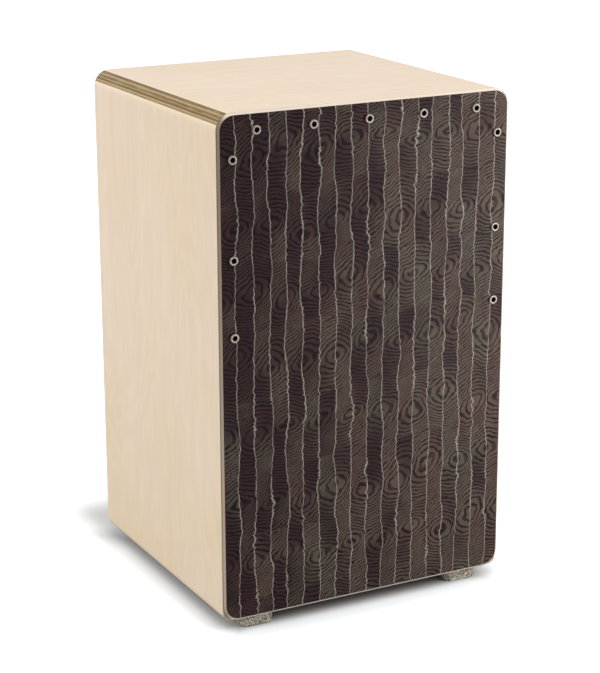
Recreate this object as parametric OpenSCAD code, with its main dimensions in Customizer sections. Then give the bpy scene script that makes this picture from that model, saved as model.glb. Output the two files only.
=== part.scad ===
// Box drum that the player sits on and plays with the hands: a glued plywood box with a thin
// veneered playing plate screwed and glued to its front, a round sound hole in its back, four
// rubber feet, and a snare unit inside that slides back out of two felt-lined guides.
// The origin is on the floor under the middle, +Z is up, and the playing face looks along -Y.
// Left and right are as seen by someone who faces the playing face.

/* [Box] */
// Width of the box across its playing face
body_w = 300; // [260:1:360]
// Depth of the box, front plate included
body_d = 280; // [230:1:340]
// Height of the box without its feet
body_h = 476; // [420:1:560]
// Radius of the two upper long edges and of the playing plate's corners
corner_r = 16; // [10:0.5:24]
// Radius of the two lower long edges
low_edge_r = 9; // [3:0.5:16]
// Bevel round the rear edge of the box
rear_bevel = 1.5; // [0.5:0.25:2.5]

/* [Panels] */
// Thickness of the top panel, which is the seat
top_t = 12; // [9:0.5:18]
// Thickness of each side panel
side_t = 9; // [8:0.5:12]
// Thickness of the bottom panel
bottom_t = 9; // [8:0.5:12]
// Thickness of the back panel
back_t = 6; // [4:0.5:9]
// Width of the rim that the panels leave round the back panel
back_rim = 4.5; // [3.5:0.25:6]
// Thickness of the tongues that lock the panels together
tongue_t = 4; // [3:0.1:5]
// Height of those tongues
tongue_h = 4; // [2:0.1:5]

/* [Sound hole] */
// Diameter of the sound hole
hole_d = 120; // [80:1:140]
// Height of its centre above the underside of the box
hole_up = 300; // [200:1:330]
// Radius of its rounded outer lip
hole_lip = 2.5; // [1:0.25:3.5]

/* [Front plate] */
// Thickness of the playing plate's plywood
plate_t = 3.4; // [2.4:0.1:5]
// Thickness of the dark veneer on its face
veneer_t = 0.6; // [0.4:0.1:1]
// Width of the bevel round its face
plate_bevel = 2.8; // [1:0.1:3]

/* [Front battens] */
// Width of the battens behind the playing plate
batten_w = 13; // [12:0.5:20]
// Depth of those battens
batten_d = 15; // [14:0.5:22]

/* [Front screws] */
// Number of screws along the top edge
top_screws = 5; // [3:1:7]
// Distance between two of them
top_screw_pitch = 56.5; // [30:0.5:60]
// Distances of the side screws below the top
side_screw_drop = [41, 131, 202]; // [41:1:240]
// Distance of every screw from the inner face of the panel beside it
screw_in = 4.4; // [3.5:0.1:6]
// Diameter of the screw heads
screw_head_d = 8.6; // [8:0.1:11]
// Height of the screw heads above the plate
screw_head_h = 2.4; // [1.8:0.1:3.2]
// Rounding of the head's rim
screw_head_round = 0.9; // [0.4:0.1:1.2]
// Width of the hexagon socket across its flats
socket_w = 4.6; // [3:0.1:5.5]
// Depth of the socket
socket_depth = 1.8; // [1:0.1:2.2]
// Diameter of the shank
screw_d = 5; // [3.5:0.1:5.5]
// Length of the shank in its batten
screw_bite = 12; // [8:0.5:13]

/* [Feet] */
// Width of a foot against the box
foot_w = 33; // [28:0.5:40]
// Radius of a foot's upright edges
foot_r = 6; // [5:0.5:12]
// How much narrower a foot is on the floor
foot_taper = 2; // [0:0.25:3]
// Height of a foot
foot_h = 12; // [10:0.5:20]
// Bevel of a foot's lower edge
foot_bevel = 1.2; // [0.5:0.1:2]
// Distance of a foot's centre from the side of the box
foot_in_side = 38; // [33:0.5:60]
// Distance of a foot's centre from the front and the back of the box
foot_in_end = 22; // [20:0.5:60]
// Diameter of the recess for the foot's screw
recess_d = 13; // [12.5:0.1:16]
// Depth of that recess
recess_depth = 6.5; // [5:0.1:7]
// Gap between the washer and the recess
washer_room = 0.5; // [0.3:0.1:1]
// Thickness of the washer
washer_t = 1; // [0.6:0.1:1.5]
// Diameter of the foot screw's head
foot_head_d = 8; // [7:0.1:9.5]
// Height of the foot screw's head
foot_head_h = 2.6; // [2:0.1:3.2]
// Diameter of the foot screw's shank
foot_screw_d = 4; // [3:0.1:5]
// Length of the foot screw's shank in the bottom panel
foot_screw_bite = 6.5; // [4:0.5:7]

/* [Snare guides] */
// Height of the snare bar's middle above the underside of the box
snare_up = 240; // [150:1:300]
// Thickness of a guide block, from the side panel inwards
guide_t = 14; // [10:0.5:20]
// Wood left above and below the slot
guide_arm = 12; // [10:0.5:18]
// Wood left in front of the slot
guide_stop = 6; // [4:0.5:12]
// Length of slot left behind the bar, through which it slides out
guide_run = 22; // [10:1:40]
// Thickness of the felt that lines the slot
felt_t = 1; // [0.8:0.1:2]
// Gap between the felt and the bar
slide_gap = 0.3; // [0.2:0.05:0.6]
// Diameter of the guide screws
guide_screw_d = 3.5; // [2.5:0.1:4]
// Length of the guide screws in the side panel
guide_screw_bite = 6; // [4:0.5:7]
// Diameter of their countersunk heads
guide_head_d = 7; // [5.5:0.1:8]

/* [Snare bar] */
// Height of the bar
bar_h = 26; // [22:0.5:34]
// Distance of the bar's front from the inside of the playing plate
bar_gap = 11; // [8:0.5:14]
// Height of the tongue at each end of the bar
bar_end_h = 20; // [16:0.5:22]
// Depth of that tongue
bar_end_d = 18; // [14:0.5:22]
// Gap between the bar and the guides along the bar
bar_side_gap = 0.5; // [0.3:0.1:1]

/* [Snare wires] */
// Distance of each snare's middle from the middle of the bar
snare_x = 72; // [45:1:85]
// Number of strands in a snare
strands = 20; // [8:1:24]
// Outer diameter of a strand
strand_d = 2.2; // [1.6:0.1:2.4]
// Distance between two strands
strand_pitch = 2.6; // [2.5:0.1:3]
// Length of a strand
strand_l = 105; // [70:1:140]
// Gap between the strands' tips and the playing plate
strand_gap = 0.4; // [0.2:0.1:1]
// Thickness of the steel plate that holds the strands
strap_t = 0.8; // [0.5:0.1:1.2]
// Height of that plate
strap_h = 22; // [18:0.5:22]
// How far the plate reaches past the outer strands
strap_margin = 3; // [2:0.5:6]
// Length of strand that is soldered to the plate
solder_l = 9; // [6:0.5:10]
// Distance of the plate's screws from its lower edge
strap_screw_up = 6; // [4.5:0.5:7]
// Diameter of the plate's screws
strap_screw_d = 3; // [2:0.1:3.5]
// Length of the plate's screws in the bar
strap_screw_bite = 12; // [8:0.5:16]
// Diameter of their heads
strap_head_d = 6; // [5:0.1:7]
// Height of their heads
strap_head_h = 1.8; // [1.2:0.1:2.4]

/* [Hidden] */
$fn = 96;

// Colours of the wood, the metal and the soft parts
birch = [0.87, 0.76, 0.62];
batten_wood = [0.80, 0.66, 0.48];
bar_wood = [0.74, 0.55, 0.38];
dark_veneer = [0.25, 0.20, 0.19];
nickel = [0.78, 0.77, 0.74];
steel = [0.62, 0.63, 0.65];
foot_grey = [0.56, 0.55, 0.48];
felt_grey = [0.33, 0.33, 0.35];

// How far a cut runs past the face that it opens, and an added form into the piece it is part of
past = 1;
// Room round a screw's shank in the wood that it bites, and in what it passes through
bite = 0.1;
pass = 0.3;
// Share of a screw's shank that is its point, and of its diameter that the tip keeps
point_share = 0.25;
tip_share = 0.25;
// Number of flats in a screw's socket
socket_flats = 6;
// Rounding of the small pan heads and of the strap's corners
pan_round = 0.7;
strap_round = 2;

// Heights of the box and of the space inside it
box_z = foot_h;
top_z = box_z + body_h;
mid_z = box_z + body_h / 2;
ceiling_z = top_z - top_t;
floor_z = box_z + bottom_t;

// Depths: screw heads stand in front of the veneer, and the whole is centred on the origin
front_y = (screw_head_h - body_d) / 2;
plate_y = front_y + veneer_t;
box_y = plate_y + plate_t;
rear_y = front_y + body_d;
back_y = rear_y - back_t;

// Half widths of the box and of the space inside it
half_w = body_w / 2;
inner_x = half_w - side_t;

// Playing plate: its bevel starts in the veneer and ends in the plywood
skin_t = veneer_t + plate_t;
wood_bevel = plate_bevel - veneer_t;
screw_l = skin_t + screw_bite;

// Feet: the head of the foot screw rests on the washer, this far below the box
washer_d = recess_d - 2 * washer_room;
head_seat = foot_h - recess_depth + washer_t;
foot_screw_l = head_seat + foot_screw_bite;

// Snare guides and the end of the bar that lies in them
snare_z = box_z + snare_up;
guide_y = box_y + batten_d;
slot_y = guide_y + guide_stop;
bar_end_y = slot_y + felt_t + slide_gap;
bar_back_y = bar_end_y + bar_end_d;
guide_back_y = bar_back_y + guide_run;
lining_h = bar_end_h + 2 * slide_gap;
slot_h = lining_h + 2 * felt_t;
guide_h = slot_h + 2 * guide_arm;
guide_x = inner_x - guide_t;
guide_screw_l = guide_t + guide_screw_bite;

// Front of the bar leans forward, so that the strands reach the playing plate at their tips
bar_front_y = box_y + bar_gap;
tip_reach = bar_gap - strap_t - strand_d - strand_gap;
strand_foot = strap_h / 2 - solder_l;
snare_lean = asin(tip_reach / (strand_foot + strand_l));
bar_half_l = inner_x - max(guide_t, batten_w) - bar_side_gap;
bar_lean_y = tan(snare_lean) * bar_h / 2;
strap_w = (strands - 1) * strand_pitch + strand_d + 2 * strap_margin;
strap_screw_x = strap_w / 4;

// Repeats its children at both sides of the middle
module both_sides() {
  children();
  mirror([1, 0, 0]) children();
}

// Board on the plane of its place, with round corners, whose outline may draw in over its thickness.
// The corners towards +Y have a radius of their own.
module board(w, l, t, r, far_r, inset0 = 0, inset1 = 0) {
  translate([0, (r - far_r) / 2, 0]) rotate([90, 0, 0])
    linear_extrude(l - r - far_r, center = true) polygon([
      [inset0 - w / 2, 0], [w / 2 - inset0, 0], [w / 2 - inset1, t], [inset1 - w / 2, t],
    ]);
  mirror([0, 1, 0]) board_end(w, l, t, r, inset0, inset1);
  board_end(w, l, t, far_r, inset0, inset1);
}

// Half of such a board between its corners, and the corners
module board_end(w, l, t, r, inset0, inset1) {
  rotate([90, 0, 90]) linear_extrude(w - 2 * r, center = true)
    polygon([[0, 0], [l / 2 - inset0, 0], [l / 2 - inset1, t], [0, t]]);
  both_sides() translate([w / 2 - r, l / 2 - r, 0])
    cylinder(h = t, r1 = r - inset0, r2 = r - inset1);
}

// Board with the outline of the box from one depth to another
module slab(y0, y1, inset0 = 0, inset1 = 0, w = body_w, h = body_h, r = corner_r, low_r = corner_r) {
  translate([0, y0, mid_z]) rotate([-90, 0, 0]) board(w, h, y1 - y0, r, low_r, inset0, inset1);
}

// Box with square corners between two points
module block(low, high) {
  translate(low) cube(high - low);
}

// Outside of the box behind the playing plate, with its rear edge bevelled
module box_form() {
  slab(box_y, rear_y - rear_bevel, low_r = low_edge_r);
  slab(rear_y - rear_bevel, rear_y, 0, rear_bevel, low_r = low_edge_r);
}

// Seat of the back panel, cut into all four panels
module back_seat(y1 = rear_y + past) {
  r = corner_r - back_rim;
  slab(back_y, y1, 0, 0, body_w - 2 * back_rim, body_h - 2 * back_rim, r, r);
}

// Tongue on the upper end of the right side panel, along its inner face
module side_tongue() {
  block([inner_x, box_y, ceiling_z], [inner_x + tongue_t, rear_y, ceiling_z + tongue_h]);
}

// Tongue on the right end of the bottom panel, along its upper face
module bottom_tongue() {
  block([inner_x, box_y, floor_z - tongue_t], [inner_x + tongue_h, rear_y, floor_z]);
}

// Top panel: laps over the ends of the side panels, so its layers show in the round edges
module top_panel() {
  color(birch) difference() {
    intersection() {
      box_form();
      block([-body_w, -body_d, ceiling_z], [body_w, body_d, top_z + past]);
    }
    both_sides() side_tongue();
    back_seat();
  }
}

// Bottom panel: lies between the side panels and carries the feet
module bottom_panel() {
  color(birch) difference() {
    union() {
      intersection() {
        box_form();
        block([-inner_x, -body_d, box_z - past], [inner_x, body_d, floor_z]);
      }
      both_sides() bottom_tongue();
    }
    back_seat();
    at_feet() foot_screw_hole();
  }
}

// Right side panel: stands under the top panel and runs down past the bottom panel
module side_panel() {
  color(birch) difference() {
    union() {
      intersection() {
        box_form();
        block([inner_x, -body_d, box_z - past], [body_w, body_d, ceiling_z]);
      }
      side_tongue();
    }
    bottom_tongue();
    back_seat();
    at_guide_screws() screw_bore(guide_screw_d + 2 * bite, guide_screw_l);
  }
}

module right_side_panel() { side_panel(); }
module left_side_panel() { mirror([1, 0, 0]) side_panel(); }

// Back panel: a thin board let in flush, with the sound hole
module back_panel() {
  color(birch) difference() {
    back_seat(rear_y);
    translate([0, rear_y, box_z + hole_up]) rotate([90, 0, 0]) {
      translate([0, 0, -past]) cylinder(d = hole_d, h = back_t + 2 * past);
      rotate_extrude() translate([hole_d / 2, 0]) difference() {
        translate([-past, -past]) square([hole_lip + past, hole_lip + past]);
        translate([hole_lip, hole_lip]) circle(hole_lip);
      }
    }
  }
}

// Playing plate: thin plywood with the outline of the box and a bevelled front edge
module front_plate() {
  color(birch) difference() {
    union() {
      slab(plate_y, plate_y + wood_bevel, wood_bevel, 0);
      slab(plate_y + wood_bevel, box_y);
    }
    at_front_screws() screw_bore(screw_d + 2 * pass, skin_t + past);
  }
}

// Dark figured veneer that faces the playing plate
module front_veneer() {
  color(dark_veneer) difference() {
    slab(front_y, plate_y, plate_bevel, wood_bevel);
    at_front_screws() screw_bore(screw_d + 2 * pass, veneer_t + past);
  }
}

// Battens glued round the front opening, which take the screws of the playing plate
module front_batten_top() {
  color(batten_wood) difference() {
    block([-inner_x, box_y, ceiling_z - batten_w], [inner_x, box_y + batten_d, ceiling_z]);
    at_top_screws() screw_bore(screw_d + 2 * bite, screw_l);
  }
}

module front_batten_bottom() {
  color(batten_wood)
    block([-inner_x, box_y, floor_z], [inner_x, box_y + batten_d, floor_z + batten_w]);
}

module front_batten_side() {
  color(batten_wood) difference() {
    block(
      [inner_x - batten_w, box_y, floor_z + batten_w],
      [inner_x, box_y + batten_d, ceiling_z - batten_w]
    );
    at_side_screws() screw_bore(screw_d + 2 * bite, screw_l);
  }
}

module front_batten_right() { front_batten_side(); }
module front_batten_left() { mirror([1, 0, 0]) front_batten_side(); }

// Places of the screws in the playing plate, each with its head towards +Z
module at_top_screws() {
  for (i = [0 : top_screws - 1])
    translate([(i - (top_screws - 1) / 2) * top_screw_pitch, front_y, ceiling_z - screw_in])
      rotate([90, 0, 0]) children();
}

module at_side_screws() {
  for (drop = side_screw_drop)
    translate([inner_x - screw_in, front_y, top_z - drop]) rotate([90, 0, 0]) children();
}

module at_front_screws() {
  at_top_screws() children();
  both_sides() at_side_screws() children();
}

// Hole for a screw whose head rests on the plane of its place
module screw_bore(d, l) {
  translate([0, 0, -l]) cylinder(d = d, h = l + past);
}

// Pointed shank below the plane of its place
module shank(d, l) {
  point_l = l * point_share;
  translate([0, 0, point_l - l]) cylinder(d = d, h = l - point_l);
  translate([0, 0, -l]) cylinder(d1 = d * tip_share, d2 = d, h = point_l);
}

// Round head on that plane, with a rounded rim
module round_head(d, h, rim) {
  rotate_extrude() {
    square([d / 2 - rim, h]);
    square([d / 2, h - rim]);
    translate([d / 2 - rim, h - rim]) intersection() {
      circle(rim);
      square(rim);
    }
  }
}

// Screws of the playing plate, with hexagon sockets
module front_plate_screws() {
  color(nickel) at_front_screws() {
    difference() {
      round_head(screw_head_d, screw_head_h, screw_head_round);
      translate([0, 0, screw_head_h - socket_depth])
        cylinder(d = socket_w / cos(180 / socket_flats), h = socket_depth + past, $fn = socket_flats);
    }
    shank(screw_d, screw_l);
  }
}

// Places of the feet on the underside of the box
module at_foot(sx, sy) {
  x = half_w - foot_in_side;
  y = sy < 0 ? front_y + foot_in_end : rear_y - foot_in_end;
  translate([sx * x, y, box_z]) children();
}

module at_feet() {
  for (sx = [-1, 1], sy = [-1, 1]) at_foot(sx, sy) children();
}

module foot_screw_hole() {
  translate([0, 0, -past]) cylinder(d = foot_screw_d + 2 * bite, h = foot_screw_bite + past);
}

// Foot: a slightly tapered rubber block with a recess for its screw
module foot() {
  draw = foot_taper / 2;
  color(foot_grey) difference() {
    translate([0, 0, -foot_h]) {
      board(foot_w, foot_w, foot_bevel, foot_r, foot_r, draw + foot_bevel, draw);
      translate([0, 0, foot_bevel])
        board(foot_w, foot_w, foot_h - foot_bevel, foot_r, foot_r, draw, 0);
    }
    translate([0, 0, -foot_h - past]) cylinder(d = recess_d, h = recess_depth + past);
    translate([0, 0, -foot_h]) cylinder(d = foot_screw_d + 2 * pass, h = foot_h + past);
  }
}

module foot_front_left() { at_foot(-1, -1) foot(); }
module foot_front_right() { at_foot(1, -1) foot(); }
module foot_rear_left() { at_foot(-1, 1) foot(); }
module foot_rear_right() { at_foot(1, 1) foot(); }

module foot_washers() {
  color(steel) at_feet() translate([0, 0, -head_seat]) difference() {
    cylinder(d = washer_d, h = washer_t);
    translate([0, 0, -past]) cylinder(d = foot_screw_d + 2 * pass, h = washer_t + 2 * past);
  }
}

module foot_screws() {
  color(steel) at_feet() translate([0, 0, -head_seat]) rotate([180, 0, 0]) {
    round_head(foot_head_d, foot_head_h, pan_round);
    shank(foot_screw_d, foot_screw_l);
  }
}

// Right snare guide: a block on the side panel with a slot that is open to the back
module snare_guide() {
  color(batten_wood) difference() {
    block(
      [guide_x, guide_y, snare_z - guide_h / 2],
      [inner_x, guide_back_y, snare_z + guide_h / 2]
    );
    block(
      [guide_x - past, slot_y, snare_z - slot_h / 2],
      [inner_x + past, guide_back_y + past, snare_z + slot_h / 2]
    );
    at_guide_screws() {
      screw_bore(guide_screw_d + 2 * pass, guide_screw_l);
      guide_head(bite);
    }
  }
}

module snare_guide_right() { snare_guide(); }
module snare_guide_left() { mirror([1, 0, 0]) snare_guide(); }

// Places of the right guide's screws, above and below its slot
module at_guide_screws() {
  for (sz = [-1, 1])
    translate([guide_x, (guide_y + guide_back_y) / 2, snare_z + sz * (slot_h + guide_arm) / 2])
      rotate([0, -90, 0]) children();
}

// Countersunk head, flush with the plane of its place
module guide_head(room = 0) {
  depth = (guide_head_d - guide_screw_d) / 2;
  translate([0, 0, -depth])
    cylinder(d1 = guide_screw_d + 2 * room, d2 = guide_head_d + 2 * room, h = depth);
}

module snare_guide_screws() {
  color(steel) both_sides() at_guide_screws() {
    guide_head();
    shank(guide_screw_d, guide_screw_l);
  }
}

// Felt that lines the right slot, glued in
module guide_felt() {
  color(felt_grey) difference() {
    block([guide_x, slot_y, snare_z - slot_h / 2], [inner_x, guide_back_y, snare_z + slot_h / 2]);
    block(
      [guide_x - past, slot_y + felt_t, snare_z - lining_h / 2],
      [inner_x + past, guide_back_y + past, snare_z + lining_h / 2]
    );
  }
}

module guide_felt_right() { guide_felt(); }
module guide_felt_left() { mirror([1, 0, 0]) guide_felt(); }

// Places on the bar's leaning front, with +Z along the strands and -Y out of the face
module on_bar_front(x) {
  translate([x, bar_front_y, snare_z]) rotate([snare_lean, 0, 0]) children();
}

// Screws of the two snare plates, each with its head towards +Z
module at_strap_screws() {
  for (side = [-1, 1], sx = [-1, 1])
    on_bar_front(side * snare_x)
      translate([sx * strap_screw_x, -strap_t, strap_screw_up - strap_h / 2])
        rotate([90, 0, 0]) children();
}

// Snare bar: a wooden bar across the box, with a tongue at each end for the guides
module snare_bar() {
  color(bar_wood) difference() {
    union() {
      translate([0, 0, snare_z]) rotate([90, 0, 90])
        linear_extrude(2 * bar_half_l, center = true) polygon([
          [bar_front_y + bar_lean_y, -bar_h / 2], [bar_back_y, -bar_h / 2],
          [bar_back_y, bar_h / 2], [bar_front_y - bar_lean_y, bar_h / 2],
        ]);
      both_sides() block(
        [bar_half_l - past, bar_end_y, snare_z - bar_end_h / 2],
        [inner_x - bar_side_gap, bar_back_y, snare_z + bar_end_h / 2]
      );
    }
    at_strap_screws() screw_bore(strap_screw_d + 2 * bite, strap_t + strap_screw_bite);
  }
}

// Snare plate: thin steel, screwed to the bar, that carries the soldered strands
module snare_plate(side) {
  color(steel) difference() {
    on_bar_front(side * snare_x) rotate([90, 0, 0]) linear_extrude(strap_t) strap_outline();
    at_strap_screws() screw_bore(strap_screw_d + 2 * pass, strap_t + past);
  }
}

// Outline of a snare plate, with round lower corners
module strap_outline() {
  translate([-strap_w / 2, strap_round - strap_h / 2]) square([strap_w, strap_h - strap_round]);
  translate([strap_round - strap_w / 2, -strap_h / 2]) square([strap_w - 2 * strap_round, strap_round]);
  for (sx = [-1, 1])
    translate([sx * (strap_w / 2 - strap_round), strap_round - strap_h / 2]) circle(strap_round);
}

module snare_plate_left() { snare_plate(-1); }
module snare_plate_right() { snare_plate(1); }

// Snare: a row of strands that lean forward to the playing plate
module snare_wires(side) {
  color(nickel) on_bar_front(side * snare_x)
    for (i = [0 : strands - 1])
      translate([
        (i - (strands - 1) / 2) * strand_pitch,
        -strap_t - strand_d / 2,
        strand_foot,
      ]) cylinder(d = strand_d, h = strand_l);
}

module snare_wires_left() { snare_wires(-1); }
module snare_wires_right() { snare_wires(1); }

module snare_plate_screws() {
  color(steel) at_strap_screws() {
    round_head(strap_head_d, strap_head_h, pan_round);
    shank(strap_screw_d, strap_t + strap_screw_bite);
  }
}

top_panel();
bottom_panel();
left_side_panel();
right_side_panel();
back_panel();
front_plate();
front_veneer();
front_batten_top();
front_batten_bottom();
front_batten_left();
front_batten_right();
front_plate_screws();
foot_front_left();
foot_front_right();
foot_rear_left();
foot_rear_right();
foot_washers();
foot_screws();
snare_guide_left();
snare_guide_right();
guide_felt_left();
guide_felt_right();
snare_guide_screws();
snare_bar();
snare_plate_left();
snare_plate_right();
snare_wires_left();
snare_wires_right();
snare_plate_screws();
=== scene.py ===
# Box drum that the player sits on: a plywood box with a dark figured playing plate, four feet and a
# snare unit inside that slides back. Metres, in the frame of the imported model: +Z up, plate towards -Y.

import math

import bmesh
import bpy
from mathutils import Color, Matrix, Vector


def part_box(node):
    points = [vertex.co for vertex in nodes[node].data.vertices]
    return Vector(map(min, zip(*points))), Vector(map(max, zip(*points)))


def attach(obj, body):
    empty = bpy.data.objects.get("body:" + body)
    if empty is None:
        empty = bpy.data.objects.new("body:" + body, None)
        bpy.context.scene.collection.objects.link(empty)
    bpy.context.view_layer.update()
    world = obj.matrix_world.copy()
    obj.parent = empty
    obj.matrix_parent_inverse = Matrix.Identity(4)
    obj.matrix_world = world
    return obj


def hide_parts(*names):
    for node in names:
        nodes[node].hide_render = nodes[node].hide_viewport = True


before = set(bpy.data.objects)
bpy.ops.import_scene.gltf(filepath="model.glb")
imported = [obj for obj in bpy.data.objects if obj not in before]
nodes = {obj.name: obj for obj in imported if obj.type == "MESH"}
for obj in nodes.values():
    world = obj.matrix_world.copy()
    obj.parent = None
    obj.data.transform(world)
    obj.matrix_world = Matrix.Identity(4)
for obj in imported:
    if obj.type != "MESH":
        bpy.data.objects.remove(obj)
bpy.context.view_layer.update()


# Box panels: top, bottom and two sides of pale birch plywood, locked by tongues and glued, with the
# long edges rounded over. Satin lacquer on a sanded face, and olive layers where an edge is cut.

MM = 0.001
box_low, box_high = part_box("top_panel")
left_x, right_x = box_low.x / MM, box_high.x / MM
top_z = box_high.z / MM
under_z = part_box("bottom_panel")[0].z / MM
top_t, wall_t = 12, 9
top_plies, wall_plies = 9, 7


def srgb(red, green, blue):
    """Linear colour of a screen colour that is given in steps of 255."""
    return (*Color((red / 255, green / 255, blue / 255)).from_srgb_to_scene_linear(), 1.0)


def plug(slot, value):
    """Sets an input to a constant, or links it to a field or an output."""
    if isinstance(value, Field):
        value = value.output
    if isinstance(value, bpy.types.NodeSocket):
        slot.id_data.links.new(value, slot)
    else:
        slot.default_value = value


class Field:
    """A number that varies over a surface. Sums, products and the rest add Math nodes to its tree."""

    def __init__(self, output):
        self.output = output

    def math(self, operation, *others):
        node = self.output.id_data.nodes.new("ShaderNodeMath")
        node.operation = operation
        for slot, value in zip(node.inputs, (self, *others)):
            plug(slot, value)
        return Field(node.outputs[0])

    def __add__(self, other):
        return self.math("ADD", other)

    def __sub__(self, other):
        return self.math("SUBTRACT", other)

    def __rsub__(self, other):
        return (self * -1) + other

    def __mul__(self, other):
        return self.math("MULTIPLY", other)

    def __truediv__(self, other):
        return self.math("DIVIDE", other)

    def size(self):
        return self.math("ABSOLUTE")

    def from_nearest(self):
        """Distance, with its sign, from the nearest whole number."""
        return self - self.math("ROUND")

    def rise(self, low, high):
        """0 below low, 1 above high and a smooth step between them."""
        node = self.output.id_data.nodes.new("ShaderNodeMapRange")
        node.interpolation_type = "SMOOTHSTEP"
        plug(node.inputs["Value"], self)
        plug(node.inputs["From Min"], low)
        plug(node.inputs["From Max"], high)
        return Field(node.outputs["Result"])


class Finish:
    """A material in the making, with the place on the piece as fields in millimetres."""

    def __init__(self, name, roughness, specular=0.5, metallic=0.0):
        self.material = bpy.data.materials.new(name)
        self.material.use_nodes = True
        self.tree = self.material.node_tree
        self.shader = self.tree.nodes["Principled BSDF"]
        self.shader.inputs["Roughness"].default_value = roughness
        self.shader.inputs["Specular IOR Level"].default_value = specular
        self.shader.inputs["Metallic"].default_value = metallic
        self.coordinates = self.tree.nodes.new("ShaderNodeTexCoord")
        self.x, self.y, self.z = (part / MM for part in self.parts(self.coordinates.outputs["Object"]))

    def parts(self, vector):
        split = self.tree.nodes.new("ShaderNodeSeparateXYZ")
        plug(split.inputs[0], vector)
        return [Field(output) for output in split.outputs]

    def facing(self):
        """The three parts of the surface's outward direction."""
        return self.parts(self.coordinates.outputs["Normal"])

    def place(self, x, y, z):
        node = self.tree.nodes.new("ShaderNodeCombineXYZ")
        for slot, value in zip(node.inputs, (x, y, z)):
            plug(slot, value)
        return node.outputs[0]

    def noise(self, x, y, z, detail=2.0, roughness=0.5):
        """Smooth noise about 0, mostly within 0.5 of it, with features about one unit across."""
        node = self.tree.nodes.new("ShaderNodeTexNoise")
        plug(node.inputs["Vector"], self.place(x, y, z))
        plug(node.inputs["Scale"], 1.0)
        plug(node.inputs["Detail"], detail)
        plug(node.inputs["Roughness"], roughness)
        return (Field(node.outputs["Fac"]) - 0.5) * 2

    def grain(self, lengths, detail=2.0, roughness=0.5):
        """Such noise with features of those lengths in mm along the three axes."""
        spot = [part / length for part, length in zip((self.x, self.y, self.z), lengths)]
        return self.noise(*spot, detail=detail, roughness=roughness)

    def cells(self, x, y, z, output="Distance", feature="F1"):
        """Cells about one unit across: the distance from a cell's middle, or its random colour."""
        node = self.tree.nodes.new("ShaderNodeTexVoronoi")
        node.feature = feature
        plug(node.inputs["Vector"], self.place(x, y, z))
        plug(node.inputs["Scale"], 1.0)
        return node.outputs[output]

    def draws(self, x, y, seed):
        """Three random fields about 0, within 0.5 of it, for each pair of whole numbers."""
        node = self.tree.nodes.new("ShaderNodeTexWhiteNoise")
        plug(node.inputs["Vector"], self.place(x, y, seed))
        return [part - 0.5 for part in self.parts(node.outputs["Color"])]

    def mix(self, share, first, second):
        """Colour that goes from first to second as share goes from 0 to 1."""
        node = self.tree.nodes.new("ShaderNodeMix")
        node.data_type = "RGBA"
        slots = {slot.identifier: slot for slot in node.inputs}
        plug(slots["Factor_Float"], share)
        plug(slots["A_Color"], first)
        plug(slots["B_Color"], second)
        return next(output for output in node.outputs if output.identifier == "Result_Color")

    def shade(self, colour, share):
        """Colour times a field that is near 1."""
        node = self.tree.nodes.new("ShaderNodeVectorMath")
        node.operation = "SCALE"
        plug(node.inputs[0], colour)
        plug(node.inputs["Scale"], share)
        return node.outputs[0]

    def paint(self, colour, roughness=None, height=None, depth=0.0):
        """Sets the colour and, where given, the roughness field and a relief of that depth in mm."""
        plug(self.shader.inputs["Base Color"], colour)
        if roughness is not None:
            plug(self.shader.inputs["Roughness"], roughness)
        if height is not None:
            node = self.tree.nodes.new("ShaderNodeBump")
            plug(node.inputs["Height"], height)
            plug(node.inputs["Distance"], depth * MM)
            plug(self.shader.inputs["Normal"], node.outputs[0])
        return self.material


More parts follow.
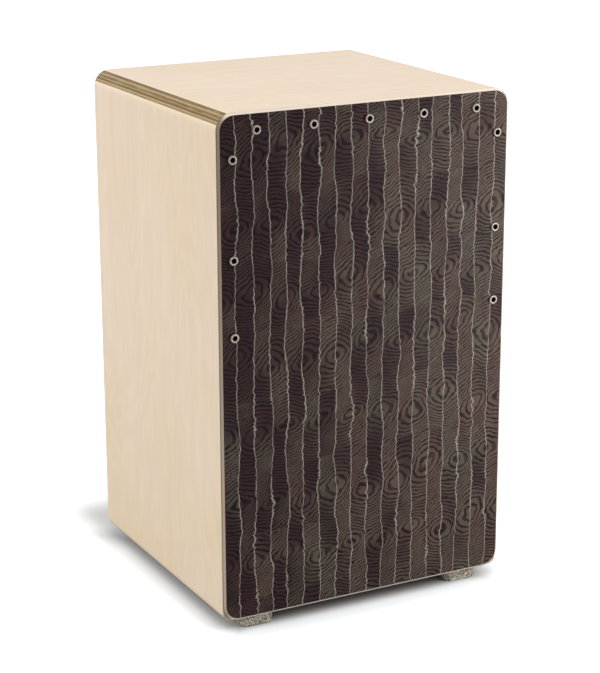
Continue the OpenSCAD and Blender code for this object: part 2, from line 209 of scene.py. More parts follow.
def birch_ply(name, depth_of, thickness, plies, along):
    """Birch plywood whose layers follow the depth below its outer face, which is sanded thinner than
    the rest. The face's fibres run along the axis that is named, and every second layer inside shows
    its end grain."""
    face = srgb(235, 216, 193)
    blush = srgb(231, 203, 180)
    straw = srgb(229, 208, 170)
    end_grain = srgb(107, 79, 34)
    long_grain = srgb(178, 155, 106)
    glue = srgb(84, 60, 32)
    sawn_front = srgb(206, 188, 164)
    ply_t = thickness / plies
    glue_half = 0.11
    sanded = 0.5
    streak_size = {"x": (160, 16, 16), "z": (22, 22, 260)}[along]
    flame_size = {"x": (330, 75, 75), "z": (75, 75, 330)}[along]
    fibre_size = {"x": (45, 0.7, 0.7), "z": (0.7, 0.7, 45)}[along]
    cloud_size = (120, 120, 120)
    ring_x, ring_y, ring_t = 40, 28, 0.5
    flames = 8
    relief = 0.02

    finish = Finish(name, roughness=0.45, specular=0.25)
    streak = finish.grain(streak_size, detail=4, roughness=0.6)
    cloud = finish.grain(cloud_size, detail=1)
    fibre = finish.grain(fibre_size)
    flame = finish.grain(flame_size) * flames + streak * 1.2
    figure = flame.from_nearest().size().rise(0.05, 0.5)
    low_down = 1 - (finish.z / top_z).rise(0.0, 0.7)
    board = finish.mix((streak + 0.1).rise(-0.35, 0.65) * 0.5, face, blush)
    board = finish.mix((cloud * 0.8 + 0.2 + low_down * 0.4).rise(0.0, 0.9) * 0.7, board, straw)
    board = finish.shade(board, figure * 0.035 + fibre * 0.02 + 0.985)

    depth = depth_of(finish)
    layer = (depth + sanded) / ply_t
    number = layer.math("FLOOR")
    crosswise = (number / 2).from_nearest().size().rise(0.2, 0.3)
    lot = finish.draws(number, 0.0, plies)[0]
    rings = finish.noise(finish.x / ring_x, finish.y / ring_y, depth / ring_t, detail=4, roughness=0.7)
    outward = 0.5 - layer / plies
    dark = crosswise * 0.5 + lot * 0.6 + rings * 1.2 + outward + 0.25
    edge = finish.mix(dark.rise(0.0, 1.0), long_grain, end_grain)
    edge = finish.shade(edge, rings * 0.35 + 1)
    seam = 1 - (layer.from_nearest().size() * ply_t).rise(glue_half * 0.4, glue_half * 1.6)
    edge = finish.mix(seam * 0.75, edge, glue)
    edge = finish.mix((finish.facing()[1] * -1).rise(0.7, 0.9) * 0.75, edge, sawn_front)
    on_face = (layer - plies / 2).size().rise(plies / 2 - 1.03, plies / 2 - 0.97)
    return finish.paint(finish.mix(on_face, edge, board), height=fibre, depth=relief)


def dress(material, *names):
    """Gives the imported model's own pieces a better finish."""
    for name in names:
        nodes[name].material_slots[0].material = material


dress(birch_ply("birch_ply_top", lambda f: top_z - f.z, top_t, top_plies, "x"), "top_panel")
dress(birch_ply("birch_ply_bottom", lambda f: f.z - under_z, wall_t, wall_plies, "x"), "bottom_panel")
dress(birch_ply("birch_ply_left", lambda f: f.x - left_x, wall_t, wall_plies, "z"), "left_side_panel")
dress(birch_ply("birch_ply_right", lambda f: right_x - f.x, wall_t, wall_plies, "z"), "right_side_panel")


# Back panel: a thinner board of the same plywood, let in flush and glued. The sound hole is sawn
# through it and its outer lip rounded, so that the layers show inside the hole.

rear_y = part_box("back_panel")[1].y / MM
back_t, back_plies = 6, 5
dress(birch_ply("birch_ply_back", lambda f: rear_y - f.y, back_t, back_plies, "z"), "back_panel")


# Front battens: planed strips of spruce, glued round the front opening behind the playing plate to
# take its screws. Unlacquered, with the grain along each strip.


def sawn_wood(name, pale, dark, along, ring):
    """Solid wood with growth rings of that width in mm and fibres along the axis that is named."""
    bend_along, bend_across, bend_by = 90, 30, 3
    fibre_along, fibre_across = 30, 0.5
    relief = 0.05
    finish = Finish(name, roughness=0.62, specular=0.3)
    axes = {"x": finish.x, "y": finish.y, "z": finish.z}
    length = axes.pop(along)
    across, up = axes.values()
    bend = finish.noise(length / bend_along, across / bend_across, up / bend_across, detail=1) * bend_by
    rings = ((across + up * 0.45 + bend) / ring * math.tau).math("SINE")
    fibre = finish.noise(length / fibre_along, across / fibre_across, up / fibre_across)
    colour = finish.mix((rings + fibre * 0.6).rise(-0.9, 1.5), pale, dark)
    return finish.paint(colour, height=fibre, depth=relief)


spruce = (srgb(232, 204, 160), srgb(205, 166, 116))
spruce_ring = 2.2
dress(sawn_wood("batten_wood_across", *spruce, "x", spruce_ring),
      "front_batten_top", "front_batten_bottom")
dress(sawn_wood("batten_wood_up", *spruce, "z", spruce_ring),
      "front_batten_left", "front_batten_right")


# Playing plate: thin plywood with the outline of the box, glued and screwed to its front. Its face
# edge is bevelled, which bares the layers all round: end grain at the sides, long grain above.


def plate_ply():
    """Pale long grain above, and paler still on faces that look down: painted light that lifts their
    shade.
    At the sides end grain, which darkens towards the top, where hands reach it, and a dark line along the
    glue on the box."""
    long_grain, long_painted_light = srgb(226, 211, 194), srgb(250, 240, 227)
    end_low, end_high = srgb(190, 174, 157), srgb(146, 130, 113)
    glue = srgb(92, 76, 56)
    fibre_size = (20, 0.4, 20)
    handled_from, handled_to = 60, 460
    joint_from, joint_to = -1.9, -1.3
    relief = 0.03
    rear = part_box("front_plate")[1].y / MM

    finish = Finish("plate_ply", roughness=0.5, specular=0.25)
    fibre = finish.grain(fibre_size)
    side = finish.facing()[0].size().rise(0.3, 0.6)
    joint = (finish.y - rear).rise(joint_from, joint_to)
    end_grain = finish.mix(finish.z.rise(handled_from, handled_to), end_low, end_high)
    # Painted light: faces that look down, such as the lower bevel, are painted paler to lift their shade.
    long_grain = finish.mix(finish.facing()[2].rise(-0.5, 0.0), long_painted_light, long_grain)
    colour = finish.shade(finish.mix(side, long_grain, end_grain), fibre * 0.15 + 1)
    colour = finish.mix(joint * (side * 0.6 + 0.1), colour, glue)
    return finish.paint(colour, height=fibre, depth=relief)


dress(plate_ply(), "front_plate")


# Veneer of the playing plate: dark wood that was pressed in waves and sliced, so its layers show as
# herringbone lines and eyes between pale seams. Glued on before the bevel was cut; satin lacquer.


def figured_veneer():
    """Pale seams a stripe apart. Eyes sit on every second seam, a row apart, and on the seams between
    them half way between the rows. The dark lines bend round an eye and then run off straight."""
    stripe = 16.7
    row = 64
    line_pitch, line_core, line_edge = 2.9, 0.12, 0.3
    line_slope, line_tilt = 0.46, 0.2
    seam_core, seam_edge = 0.12, 0.55
    eye_wide, eye_tall, eye_spread = 6, 12, 9
    eye_shift, chatoyance_soft = 20, 60
    wander_by, jag_by, row_by, ripple_by = 5.6, 4.0, 12, 1.8
    relief = 0.015
    light = srgb(94, 78, 70)
    olive = srgb(92, 84, 74)
    dark = srgb(50, 35, 38)
    russet = srgb(80, 48, 46)
    line_light = srgb(32, 21, 19)
    line_dark = srgb(18, 10, 12)
    seam_pale = srgb(172, 162, 154)

    finish = Finish("figured_veneer", roughness=0.32, specular=0.07)
    x, z = finish.x, finish.z

    def vary(sheet, wide, tall, detail=2, roughness=0.5):
        """Noise with features that wide and tall in mm, on a sheet that no other noise here uses."""
        return finish.noise(x / wide, sheet, z / tall, detail=detail, roughness=roughness)

    wander = vary(3.1, wide=16, tall=46, detail=1) * wander_by
    jag = vary(8.2, wide=30, tall=7, detail=5, roughness=0.85) * jag_by
    seam = (x + wander + jag) / stripe
    rows = (z + vary(9.4, wide=70, tall=60, detail=1) * row_by) / (2 * row)
    ripple = vary(5.7, wide=9, tall=7, detail=3, roughness=0.6) * ripple_by

    def eyes(shift, seed):
        """Distances across and up from the nearest eye of one set, and the way from it."""
        column, level = seam / 2 + shift, rows + shift
        chance = finish.draws(column.math("ROUND"), level.math("ROUND"), seed)
        across = column.from_nearest() * (2 * stripe)
        up = level.from_nearest() * (2 * row) + chance[0] * eye_shift - across * line_tilt
        tall = chance[1] * eye_spread + eye_tall
        way = (up.math("POWER", 2) + tall.math("POWER", 2)).math("SQRT")
        way += (across.math("POWER", 2) + eye_wide ** 2).math("SQRT") * line_slope
        return across, up, way

    first, second = eyes(0.0, seed=11), eyes(0.5, seed=23)
    nearer = second[2].math("LESS_THAN", first[2])
    across, up, way = (a + (b - a) * nearer for a, b in zip(first, second))
    ring = (way + ripple) / line_pitch
    strong = vary(6.1, wide=11, tall=7).rise(-0.8, 0.4) * 0.6 + 0.4
    line = (1 - ring.from_nearest().size().rise(line_core, line_edge)) * strong
    block, hue = finish.draws(seam.math("FLOOR"), (rows * 2).math("ROUND"), seed=31)[:2]
    # Painted sheen: grain that rises to the right is painted lighter and grain that falls is painted
    # darker, standing in for the wood's shimmer under light.
    lean = (across * up * -1) / ((across * up).size() + chatoyance_soft)
    cloud = vary(7.7, wide=40, tall=40)
    # Painted sheen: the plate is painted lighter towards its right end and towards its foot, standing in
    # for a lamp's sheen.
    sheen_drift = x / right_x - (z - top_z / 2) / (1.5 * top_z)
    tone = (lean * 0.6 + block * 0.9 + cloud * 0.8 + sheen_drift * 0.7).rise(-1.0, 1.0)
    warm = vary(2.2, wide=12, tall=26).rise(0.0, 0.6) * 0.5
    bright = finish.mix(hue.rise(-0.5, 0.5), light, olive)
    ground = finish.mix(warm, finish.mix(tone, dark, bright), russet)
    colour = finish.mix(line, ground, finish.mix(tone, line_dark, line_light))
    pale = 1 - (seam.from_nearest().size() * stripe).rise(seam_core, seam_edge)
    worn = (vary(4.4, wide=6, tall=7) + 0.9).rise(0.0, 1.0)
    colour = finish.mix(pale * worn, colour, seam_pale)
    return finish.paint(colour, height=line, depth=relief)


dress(figured_veneer(), "front_veneer")


# Screws of the playing plate: nickel-plated, with a low round head and a hexagon socket. Five along
# the top edge and three down each side hold the plate's upper part, so that its tone can be set.


def solids(name):
    """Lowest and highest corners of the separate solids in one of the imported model's pieces."""
    shape = bmesh.new()
    shape.from_mesh(nodes[name].data)
    bmesh.ops.remove_doubles(shape, verts=shape.verts, dist=0.001 * MM)
    waiting, found = set(shape.verts), []
    while waiting:
        reached = [waiting.pop()]
        for corner in reached:
            for edge in corner.link_edges:
                other = edge.other_vert(corner)
                if other in waiting:
                    waiting.remove(other)
                    reached.append(other)
        spots = [[corner.co[axis] for corner in reached] for axis in range(3)]
        found.append((Vector(map(min, spots)), Vector(map(max, spots))))
    shape.free()
    return sorted(found, key=lambda box: tuple(round(c, 5) for c in box[0]))


def circle(angle):
    """Reach of a circle, which is the same at every angle."""
    return 1.0


def hexagon(angle):
    """Reach of a hexagon at that angle, with its flats at distance 1."""
    return 1 / math.cos((angle + math.pi / 6) % (math.pi / 3) - math.pi / 6)


def cross(angle):
    """Reach of a cross recess at that angle, with arms of length 1."""
    arm_half = 0.24
    off = (angle + math.pi / 4) % (math.pi / 2) - math.pi / 4
    return min(1 / math.cos(off), arm_half / max(abs(math.sin(off)), 1e-6))


def turned(name, profile, steps=48):
    """Closed mesh from rings (radius, height, outline) in mm, from one pole to the other. A ring of
    radius 0 is a pole. The rings past the highest one are marked with their depth in its recess,
    from 0 at the rim to 1 at the bottom."""
    sharp_from = math.radians(35)
    shape = bmesh.new()
    hollow = shape.verts.layers.float.new("recess")
    rings = []
    for radius, height, outline in profile:
        if radius == 0:
            rings.append([shape.verts.new((0, 0, height * MM))] * steps)
            continue
        angles = [math.tau * step / steps for step in range(steps)]
        ring = []
        for angle in angles:
            reach = radius * outline(angle) * MM
            ring.append(shape.verts.new((reach * math.cos(angle), reach * math.sin(angle), height * MM)))
        rings.append(ring)
    peak = max(range(len(profile)), key=lambda ring: (profile[ring][1], ring))
    heights = [height for radius, height, outline in profile[peak:]]
    for ring, height in zip(rings[peak:], heights):
        for corner in ring:
            corner[hollow] = (heights[0] - height) / max(heights[0] - min(heights), 0.001)
    for lower, upper in zip(rings, rings[1:]):
        for step in range(steps):
            after = (step + 1) % steps
            corners = (lower[step], lower[after], upper[after], upper[step])
            shape.faces.new(dict.fromkeys(corners))
    bmesh.ops.recalc_face_normals(shape, faces=shape.faces)
    mesh = bpy.data.meshes.new(name)
    shape.to_mesh(mesh)
    shape.free()
    mesh.shade_smooth()
    mesh.set_sharp_from_angle(angle=sharp_from)
    return mesh


def shank(diameter, length, pitch):
    """Rings of a threaded, pointed shank that ends at height 0."""
    point, root = length / 4, 0.8
    rings = [(0, -length, circle)]
    height = -length + pitch / 2
    while height < -pitch / 4:
        swell = min(1, (height + length) / point)
        crest = round((height + length) / (pitch / 2)) % 2
        rings.append((diameter / 2 * swell * (1 if crest else root), height, circle))
        height += pitch / 2
    return rings


def quarter(middle, height, rim, steps=5):
    """Rings of a head's rounded rim, from its side to its top."""
    turns = [math.pi / 2 * step / steps for step in range(steps + 1)]
    return [(middle + rim * math.cos(t), height + rim * math.sin(t), circle) for t in turns]


def screw_tree():
    """Sets one screw on every point, along that point's facing and with a turn of its own."""
    tree = bpy.data.node_groups.new("set_screws", "GeometryNodeTree")
    face = tree.interface
    face.new_socket("Geometry", in_out="OUTPUT", socket_type="NodeSocketGeometry")
    face.new_socket("Places", in_out="INPUT", socket_type="NodeSocketGeometry")
    face.new_socket("Screw", in_out="INPUT", socket_type="NodeSocketObject")
    face.new_socket("Seed", in_out="INPUT", socket_type="NodeSocketInt")
    face.new_socket("Finish", in_out="INPUT", socket_type="NodeSocketMaterial")
    given = tree.nodes.new("NodeGroupInput").outputs
    screw = tree.nodes.new("GeometryNodeObjectInfo")
    facing = tree.nodes.new("GeometryNodeInputNamedAttribute")
    facing.data_type = "FLOAT_VECTOR"
    facing.inputs["Name"].default_value = "facing"
    aim = tree.nodes.new("FunctionNodeAlignRotationToVector")
    aim.axis = "Z"
    chance = tree.nodes.new("FunctionNodeRandomValue")
    chance.data_type = "FLOAT_VECTOR"
    chance.inputs["Min"].default_value = (0, 0, 0)
    chance.inputs["Max"].default_value = (0, 0, math.tau)
    turn = tree.nodes.new("FunctionNodeEulerToRotation")
    twist = tree.nodes.new("FunctionNodeRotateRotation")
    twist.rotation_space = "LOCAL"
    spread = tree.nodes.new("GeometryNodeInstanceOnPoints")
    real = tree.nodes.new("GeometryNodeRealizeInstances")
    coat = tree.nodes.new("GeometryNodeSetMaterial")
    result = tree.nodes.new("NodeGroupOutput")
    plug(screw.inputs["Object"], given["Screw"])
    plug(aim.inputs["Vector"], facing.outputs["Attribute"])
    plug(chance.inputs["Seed"], given["Seed"])
    plug(turn.inputs["Euler"], chance.outputs["Value"])
    plug(twist.inputs["Rotation"], aim.outputs["Rotation"])
    plug(twist.inputs["Rotate By"], turn.outputs["Rotation"])
    plug(spread.inputs["Points"], given["Places"])
    plug(spread.inputs["Instance"], screw.outputs["Geometry"])
    plug(spread.inputs["Rotation"], twist.outputs["Rotation"])
    plug(real.inputs["Geometry"], spread.outputs["Instances"])
    plug(coat.inputs["Geometry"], real.outputs["Geometry"])
    plug(coat.inputs["Material"], given["Finish"])
    plug(result.inputs["Geometry"], coat.outputs["Geometry"])
    return tree


def grow(name, mesh, tree, **values):
    """Runs a tree on a mesh and keeps the result as a plain mesh in a new piece."""
    piece = bpy.data.objects.new(name, mesh)
    bpy.context.scene.collection.objects.link(piece)
    modifier = piece.modifiers.new("grow", "NODES")
    modifier.node_group = tree
    for item in tree.interface.items_tree:
        if item.in_out == "INPUT" and item.name in values:
            modifier[item.identifier] = values[item.name]
    bpy.context.view_layer.update()
    result = piece.evaluated_get(bpy.context.evaluated_depsgraph_get())
    made = bpy.data.meshes.new_from_object(result)
    piece.modifiers.clear()
    piece.data = made
    return piece


set_screws = screw_tree()


def screws(name, body, mesh, places, seed, finish):
    """Screws at (place, facing) pairs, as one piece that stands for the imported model's piece."""
    spots = bpy.data.meshes.new(name)
    spots.from_pydata([place for place, facing in places], [], [])
    attribute = spots.attributes.new("facing", "FLOAT_VECTOR", "POINT")
    attribute.data.foreach_set("vector", [part for place, facing in places for part in facing])
    pattern = bpy.data.objects.new(name + "_pattern", mesh)
    piece = grow(name, spots, set_screws, Screw=pattern, Seed=seed, Finish=finish)
    bpy.data.objects.remove(pattern)
    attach(piece, body)
    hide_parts(name)


def plated(name, dull, bright, roughness):
    """Plated metal, a little clouded, with faint polishing marks and dull recesses that painted shade
    darkens.
    """
    recess_shade = srgb(18, 14, 12)
    cloud_size, mark_size = (3, 3, 3), (0.25, 0.25, 2)
    relief = 0.004
    finish = Finish(name, roughness, metallic=1.0)
    cloud = finish.grain(cloud_size, detail=3)
    marks = finish.grain(mark_size)
    mark = finish.tree.nodes.new("ShaderNodeAttribute")
    mark.attribute_name = "recess"
    recess = Field(mark.outputs["Fac"]).rise(0.0, 0.3)
    tint = finish.mix((cloud + marks * 0.6).rise(-0.8, 0.8), dull, bright)
    # Painted shade: the recess is darkened nearly to black, as if in shadow.
    tint = finish.mix(recess, tint, recess_shade)
    rough = cloud * 0.12 + roughness + recess * 0.3
    return finish.paint(tint, roughness=rough, height=marks, depth=relief)


head_d, head_h, head_round, head_foot = 8.6, 2.4, 0.9, 0.15
socket_half, socket_depth, socket_cone = 2.3, 1.8, 0.3
mouth_wide, mouth_deep = 0.55, 0.35
screw_d, screw_l, screw_pitch = 5, 16, 1.8
socket_floor = head_h - socket_depth
head_mesh = turned("socket_head", [
    *shank(screw_d, screw_l, screw_pitch),
    (screw_d / 2, 0, circle),
    (head_d / 2 - head_foot, 0, circle),
    (head_d / 2, head_foot, circle),
    *quarter(head_d / 2 - head_round, head_h - head_round, head_round),
    (socket_half + mouth_wide, head_h, circle),
    (socket_half, head_h - mouth_deep, hexagon),
    (socket_half, socket_floor, hexagon),
    (socket_half * 0.6, socket_floor - socket_cone * 2 / 3, circle),
    (0, socket_floor - socket_cone, circle),
])
face_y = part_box("front_veneer")[0].y
front_places = []
for low, high in solids("front_plate_screws"):
    middle = (low + high) / 2
    front_places.append((Vector((middle.x, face_y, middle.z)), (0, -1, 0)))
nickel = plated("nickel", srgb(124, 116, 109), srgb(184, 174, 164), 0.36)
screws("front_plate_screws", "box", head_mesh, front_places, seed=5, finish=nickel)


# Feet: blocks cut from pressed rubber and cork granules, each with a recess for the screw that holds
# it to the bottom panel. Matt and speckled, with grains that stand a little proud.


def granulate():
    """Grains of straw colour, grey and a few darker ones in a grey-green binder."""
    grains = [srgb(234, 225, 207), srgb(198, 190, 172), srgb(114, 107, 94)]
    binder = srgb(138, 131, 116)
    grain = 1.6
    relief = 0.22
    finish = Finish("foot_rubber", roughness=0.85, specular=0.25)
    spot = [part / grain for part in (finish.x, finish.y, finish.z)]
    lot = finish.parts(finish.cells(*spot, output="Color"))
    gap = Field(finish.cells(*spot, feature="DISTANCE_TO_EDGE"))
    colour = finish.mix(lot[0].rise(0.35, 0.45), grains[0], grains[1])
    colour = finish.mix(lot[1].rise(0.7, 0.75), colour, grains[2])
    colour = finish.shade(colour, finish.noise(*(part * 3 for part in spot)) * 0.3 + 1)
    colour = finish.mix(1 - gap.rise(0.02, 0.14), colour, binder)
    return finish.paint(colour, height=gap.rise(0.0, 0.25), depth=relief)


foot_corner = 0.36
foot_taper, foot_soft, foot_rim, foot_edge = 1, 1.6, 0.8, 0.25
recess_r, recess_h, recess_fillet, recess_mouth = 6.5, 6.5, 0.4, 0.6
bore_r = 2.3


def rounded_square(angle):
    """Reach of a square with round corners at that angle, with its sides at distance 1."""
    off = abs((angle + math.pi / 4) % (math.pi / 2) - math.pi / 4)
    straight = 1 - foot_corner
    if math.tan(off) <= straight:
        return 1 / math.cos(off)
    spread = math.cos(off) + math.sin(off)
    return straight * spread + math.sqrt(foot_corner ** 2 - straight ** 2 * (2 - spread ** 2))


def foot(name, material):
    """Block with soft edges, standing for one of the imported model's feet."""
    low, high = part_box(name)
    middle = (low + high) / 2
    height = (high.z - low.z) / MM
    top_r = (high.x - low.x) / 2 / MM
    floor_r = top_r - foot_taper
    side_h = height - foot_soft - foot_rim
    steps = 6
    bends = [math.pi / 2 * step / steps for step in range(steps + 1)]
    shares = [step / steps for step in range(1, steps + 1)]
    mesh = turned(name + "_turned", [
        (bore_r, recess_h, circle),
        (recess_r - recess_fillet, recess_h, circle),
        (recess_r, recess_h - recess_fillet, circle),
        (recess_r, recess_mouth, circle),
        (recess_r + recess_mouth, 0, circle),
        *((floor_r - foot_soft + foot_soft * math.sin(bend), foot_soft - foot_soft * math.cos(bend),
           rounded_square) for bend in bends),
        *((floor_r + share * foot_taper, foot_soft + share * side_h, rounded_square) for share in shares),
        (top_r - foot_edge, height - foot_edge, rounded_square),
        (top_r - foot_rim, height, rounded_square),
        (bore_r, height, circle),
        (bore_r, recess_h, circle),
    ], steps=72)
    mesh.transform(Matrix.Translation((middle.x, middle.y, low.z)))
    piece = bpy.data.objects.new(name + "_granulate", mesh)
    mesh.materials.append(material)
    bpy.context.scene.collection.objects.link(piece)
    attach(piece, "box")
    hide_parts(name)


foot_rubber = granulate()
for foot_name in ("foot_front_left", "foot_front_right", "foot_rear_left", "foot_rear_right"):
    foot(foot_name, foot_rubber)


# Foot washers and screws: zinc-plated steel. A pan head with a cross recess clamps each foot through
# its washer, well above the floor.

zinc = plated("zinc_steel", srgb(176, 178, 182), srgb(208, 210, 213), 0.34)
dress(zinc, "foot_washers")

wood_pitch = 1.4


def pan_head(name, head_d, head_h, shank_d, shank_l):
    """Wood screw with a pan head and a cross recess."""
    rim, land = 0.7, 0.3
    reach = head_d * 0.3
    return turned(name, [
        *shank(shank_d, shank_l, wood_pitch),
        (shank_d / 2, 0, circle),
        (head_d / 2, 0, circle),
        *quarter(head_d / 2 - rim, head_h - rim, rim),
        (reach + land, head_h, circle),
        (reach, head_h, cross),
        (reach * 0.8, head_h * 0.35, cross),
        (0, head_h * 0.2, circle),
    ], steps=64)


foot_head_d, foot_head_h, foot_shank_d, foot_shank_l = 8, 2.6, 4, 12.5
foot_screw = pan_head("foot_screw", foot_head_d, foot_head_h, foot_shank_d, foot_shank_l)
foot_places = []
for low, high in solids("foot_screws"):
    middle = (low + high) / 2
    foot_places.append((Vector((middle.x, middle.y, low.z + foot_head_h * MM)), (0, 0, -1)))
screws("foot_screws", "box", foot_screw, foot_places, seed=8, finish=zinc)


# Snare guides: two blocks of spruce screwed inside the side panels, each with a slot that is open to
# the back. Countersunk screws hold them above and below the slot.

dress(sawn_wood("batten_wood_deep", *spruce, "y", spruce_ring),
      "snare_guide_left", "snare_guide_right")

guide_screw_d, guide_head_d, guide_screw_l, guide_rim = 3.5, 7, 20, 0.1
cross_land, cross_top, cross_foot = 2.3, 2.1, 1.5
cross_depth, cross_point = 1.3, 1.6
countersink = (guide_head_d - guide_screw_d) / 2
guide_screw = turned("guide_screw", [
    *((radius, height - countersink, outline)
      for radius, height, outline in shank(guide_screw_d, guide_screw_l - countersink, wood_pitch)),
    (guide_screw_d / 2, -countersink, circle),
    (guide_head_d / 2, -guide_rim, circle),
    (guide_head_d / 2 - guide_rim, 0, circle),
    (cross_land, 0, circle),
    (cross_top, 0, cross),
    (cross_foot, -cross_depth, cross),
    (0, -cross_point, circle),
], steps=64)
guide_places = []
for low, high in solids("snare_guide_screws"):
    middle = (low + high) / 2
    inward = -math.copysign(1, middle.x)
    head_x = low.x if inward < 0 else high.x
    guide_places.append((Vector((head_x, middle.y, middle.z)), (inward, 0, 0)))
screws("snare_guide_screws", "box", guide_screw, guide_places, seed=13, finish=zinc)


# Guide felts: strips of pressed wool felt glued into the slots, so that the bar slides without
# rattling. Charcoal, with a dull, fibrous surface.


def pressed_felt():
    """Short wool fibres that lie every way, in two greys."""
    charcoal, ash = srgb(66, 66, 70), srgb(112, 111, 113)
    wool_size, cloud_size = (0.6, 0.6, 0.6), (6, 6, 6)
    relief = 0.2
    finish = Finish("felt", roughness=0.95, specular=0.1)
    finish.shader.inputs["Sheen Weight"].default_value = 0.3
    wool = finish.grain(wool_size, detail=4, roughness=0.7)
    cloud = finish.grain(cloud_size)
    colour = finish.mix((wool + cloud * 0.5).rise(-0.6, 0.8), charcoal, ash)
    return finish.paint(colour, height=wool, depth=relief)


dress(pressed_felt(), "guide_felt_left", "guide_felt_right")


# Snare bar: a planed beech bar across the box. Its ends lie in the felt-lined slots, and its leaning
# front presses the snares against the playing plate. It slides back to take them off.

beech = (srgb(214, 166, 122), srgb(180, 128, 86))
beech_ring = 3.0
dress(sawn_wood("bar_wood", *beech, "x", beech_ring), "snare_bar")


# Snare plates and strands: thin steel plates screwed to the bar, each with twenty strands of finely
# coiled wire soldered to it. The strands lean forward until their tips reach the playing plate.

bright_steel = plated("snare_steel", srgb(186, 186, 188), srgb(218, 218, 220), 0.26)
dress(bright_steel, "snare_plate_left", "snare_plate_right")


def strand_tree():
    """A row of coiled strands, leant forward about its foot and set at its place."""
    coil_points, wire_sides = 7, 4
    tree = bpy.data.node_groups.new("snare_strands", "GeometryNodeTree")
    face = tree.interface
    face.new_socket("Geometry", in_out="OUTPUT", socket_type="NodeSocketGeometry")
    for label, kind in (
        ("Strands", "Int"), ("Pitch", "Float"), ("Coil Radius", "Float"), ("Wire Radius", "Float"),
        ("Length", "Float"), ("Turns", "Float"), ("Lean", "Vector"), ("Place", "Vector"),
        ("Finish", "Material"),
    ):
        face.new_socket(label, in_out="INPUT", socket_type="NodeSocket" + kind)
    given = tree.nodes.new("NodeGroupInput").outputs
    coil = tree.nodes.new("GeometryNodeCurveSpiral")
    coil.inputs["Resolution"].default_value = coil_points
    wire = tree.nodes.new("GeometryNodeCurvePrimitiveCircle")
    wire.inputs["Resolution"].default_value = wire_sides
    drawn = tree.nodes.new("GeometryNodeCurveToMesh")
    drawn.inputs["Fill Caps"].default_value = True
    step = tree.nodes.new("ShaderNodeCombineXYZ")
    line = tree.nodes.new("GeometryNodeMeshLine")
    spread = tree.nodes.new("GeometryNodeInstanceOnPoints")
    real = tree.nodes.new("GeometryNodeRealizeInstances")
    leant = tree.nodes.new("GeometryNodeTransform")
    coat = tree.nodes.new("GeometryNodeSetMaterial")
    result = tree.nodes.new("NodeGroupOutput")
    plug(coil.inputs["Rotations"], given["Turns"])
    plug(coil.inputs["Start Radius"], given["Coil Radius"])
    plug(coil.inputs["End Radius"], given["Coil Radius"])
    plug(coil.inputs["Height"], given["Length"])
    plug(wire.inputs["Radius"], given["Wire Radius"])
    plug(drawn.inputs["Curve"], coil.outputs["Curve"])
    plug(drawn.inputs["Profile Curve"], wire.outputs["Curve"])
    plug(step.inputs["X"], given["Pitch"])
    plug(line.inputs["Count"], given["Strands"])
    plug(line.inputs["Offset"], step.outputs[0])
    plug(spread.inputs["Points"], line.outputs["Mesh"])
    plug(spread.inputs["Instance"], drawn.outputs["Mesh"])
    plug(leant.inputs["Geometry"], spread.outputs["Instances"])
    plug(leant.inputs["Rotation"], given["Lean"])
    plug(leant.inputs["Translation"], given["Place"])
    plug(real.inputs["Geometry"], leant.outputs["Geometry"])
    plug(coat.inputs["Geometry"], real.outputs["Geometry"])
    plug(coat.inputs["Material"], given["Finish"])
    plug(result.inputs["Geometry"], coat.outputs["Geometry"])
    return tree


strand_count = 20
strand_d, strand_l, wire_d, coil_turns = 2.2, 105, 0.45, 90
snare_strands = strand_tree()
for side in ("left", "right"):
    low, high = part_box("snare_wires_" + side)
    pitch = (high.x - low.x - strand_d * MM) / (strand_count - 1)
    fore = high.y - low.y - strand_d * MM
    lean = math.asin(fore / (strand_l * MM))
    half = strand_d / 2 * MM
    place = (low.x + half, high.y - half, low.z + half * math.sin(lean))
    wires = grow(
        "snare_strands_" + side, bpy.data.meshes.new("strands_" + side), snare_strands,
        **{
            "Strands": strand_count, "Pitch": pitch, "Coil Radius": (strand_d - wire_d) / 2 * MM,
            "Wire Radius": wire_d / 2 * MM, "Length": strand_l * MM, "Turns": float(coil_turns),
            "Lean": (lean, 0, 0), "Place": place, "Finish": bright_steel,
        },
    )
    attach(wires, "snare_unit")
    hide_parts("snare_wires_" + side)


# Snare plate screws: two small wood screws through each plate into the bar, square to its leaning
# front. Zinc-plated steel, with pan heads and cross recesses.

plate_head_d, plate_head_h, plate_shank_d, plate_shank_l = 6, 1.8, 3, 12.8
plate_screw = pan_head("plate_screw", plate_head_d, plate_head_h, plate_shank_d, plate_shank_l)
under_head = (plate_shank_l - plate_head_h) / 2 * MM
plate_places = []
outward = Vector((0, -math.cos(lean), -math.sin(lean)))
for low, high in solids("snare_plate_screws"):
    middle = (low + high) / 2
    plate_places.append((middle + outward * under_head, outward))
screws("snare_plate_screws", "snare_unit", plate_screw, plate_places, seed=17, finish=zinc)


# Floor, light and camera: a white studio floor under an even sky, a large soft lamp above the front,
# weaker ones at the left and behind, and a small one close to the right end of the playing plate.
# None of them is mirrored: the sheen comes from the sky, the floor and a card that lights nothing.

floor_size = 14
floor_mesh = bpy.data.meshes.new("floor")
floor_half = floor_size / 2
floor_mesh.from_pydata(
    [(-floor_half, -floor_half, 0), (floor_half, -floor_half, 0),
     (floor_half, floor_half, 0), (-floor_half, floor_half, 0)], [], [(0, 1, 2, 3)])
floor = bpy.data.objects.new("floor", floor_mesh)
bpy.context.scene.collection.objects.link(floor)


def path_of(tree, *names):
    """1 for rays of the kinds that are named, and 0 for others."""
    path = tree.nodes.new("ShaderNodeLightPath").outputs
    kinds = [Field(path[name]) for name in names]
    return sum(kinds[1:], kinds[0]).math("MINIMUM", 1.0)


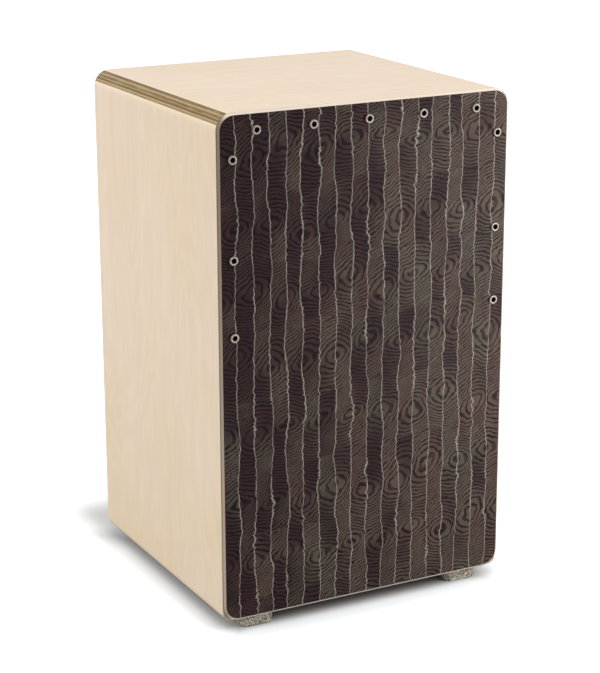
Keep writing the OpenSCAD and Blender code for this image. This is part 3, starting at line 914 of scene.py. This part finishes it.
def white_floor():
    """Grey to the light, white in what is glossy, and lifted to white where the camera looks, with
    painted
    shadows: a dark painted shadow under the box, less beside it, a soft painted shadow behind it, and
    most lifted far from the lamps. The ranges are in mm past the outline of the box, and the last from
    its middle."""
    to_light, to_gloss = (0.3, 0.3, 0.3, 1), (1, 1, 1, 1)
    under, beside = (0.2, 0.2, 0.2, 1), (1.0, 1.02, 1.04, 1)
    clear, distant = (1.4, 1.43, 1.46, 1), (2.2, 2.2, 2.2, 1)
    side_trim, fore_trim = 4, 6
    contact, fringe, flank, far_off = (-36, 2), (-5, 34), (-15, 32), (400, 2200)
    shade_off, shade_range, shade_share = 36, (20, 90), 0.48

    finish = Finish("white_floor", roughness=0.9, specular=0.0)
    past_side = finish.x.size() - right_x
    past = (past_side + side_trim).math("MAXIMUM", (finish.y + fore_trim).size() - rear_y)
    off = (finish.y - rear_y - shade_off).size()
    behind = (1 - off.rise(*shade_range)) * (1 - past_side.rise(*flank))
    far = (finish.x.math("POWER", 2) + finish.y.math("POWER", 2)).math("SQRT").rise(*far_off)
    # Painted shadow: the floor the camera sees is darkest under the box and darker close round it.
    lifted = finish.mix(past.rise(*contact), under, beside)
    lifted = finish.mix(past.rise(*fringe), lifted, clear)
    # Painted soft shadow behind the box.
    lifted = finish.shade(lifted, 1 - behind * shade_share)
    lifted = finish.mix(far, lifted, distant)
    mirrored = path_of(finish.tree, "Is Glossy Ray", "Is Transmission Ray")
    tone = finish.mix(mirrored, to_light, to_gloss)
    return finish.paint(finish.mix(path_of(finish.tree, "Is Camera Ray"), tone, lifted))


floor_mesh.materials.append(white_floor())

sky = bpy.data.worlds.new("white_sky")
sky.use_nodes = True
sky_strength = 0.52
background = sky.node_tree.nodes["Background"]
background.inputs["Color"].default_value = (1, 1, 1, 1)
shown = path_of(sky.node_tree, "Is Camera Ray", "Is Glossy Ray", "Is Transmission Ray")
plug(background.inputs["Strength"], shown * (1 - sky_strength) + sky_strength)
bpy.context.scene.world = sky


def lamp(name, place, target, width, height, watts):
    """Rectangular lamp at a place that faces a target. It lights the object and isn't mirrored in it."""
    light = bpy.data.lights.new(name, "AREA")
    light.shape = "RECTANGLE"
    light.size, light.size_y, light.energy = width, height, watts
    holder = bpy.data.objects.new(name, light)
    holder.location = place
    holder.rotation_mode = "QUATERNION"
    holder.rotation_quaternion = (Vector(target) - Vector(place)).to_track_quat("-Z", "Y")
    holder.visible_camera = False
    holder.visible_glossy = False
    bpy.context.scene.collection.objects.link(holder)
    return holder


box_middle, plate_right = (0, 0, 0.25), (0.1, -0.14, 0.25)
lamp("front_lamp", (-0.3, -1.0, 2.4), box_middle, width=2.0, height=2.0, watts=23)
lamp("left_lamp", (-2.2, 0.1, 0.6), box_middle, width=1.2, height=0.8, watts=15.5)
lamp("right_lamp", (0.55, -0.65, 0.42), plate_right, width=0.35, height=0.6, watts=4.2)
lamp("rear_lamp", (-0.9, 1.9, 1.1), box_middle, width=1.2, height=1.2, watts=15)
card = lamp("card", (0.49, -0.65, 0.25), plate_right, width=0.3, height=0.5, watts=1.5)
card.visible_diffuse = False
card.visible_glossy = True

photo_height = 673
focal_px = 1989.1
camera_far = 1.9661
yaw, pitch, roll = (math.radians(turn) for turn in (-27.835, 16.485, -0.195))
aim = Vector((0.0036, 0.0012, 0.23129))
back = Vector((math.sin(yaw) * math.cos(pitch), -math.cos(yaw) * math.cos(pitch), math.sin(pitch)))
right = Vector((math.cos(yaw), math.sin(yaw), 0))
up = back.cross(right)
level = Matrix((right, up, back)).transposed() @ Matrix.Rotation(roll, 3, "Z")
camera = bpy.data.objects.new("camera", bpy.data.cameras.new("camera"))
camera.data.sensor_width = 36
camera.data.lens = camera.data.sensor_width * focal_px / photo_height
camera.matrix_world = Matrix.Translation(aim + back * camera_far) @ level.to_4x4()
bpy.context.scene.collection.objects.link(camera)
bpy.context.scene.camera = camera
bpy.context.scene.view_settings.view_transform = "Standard"
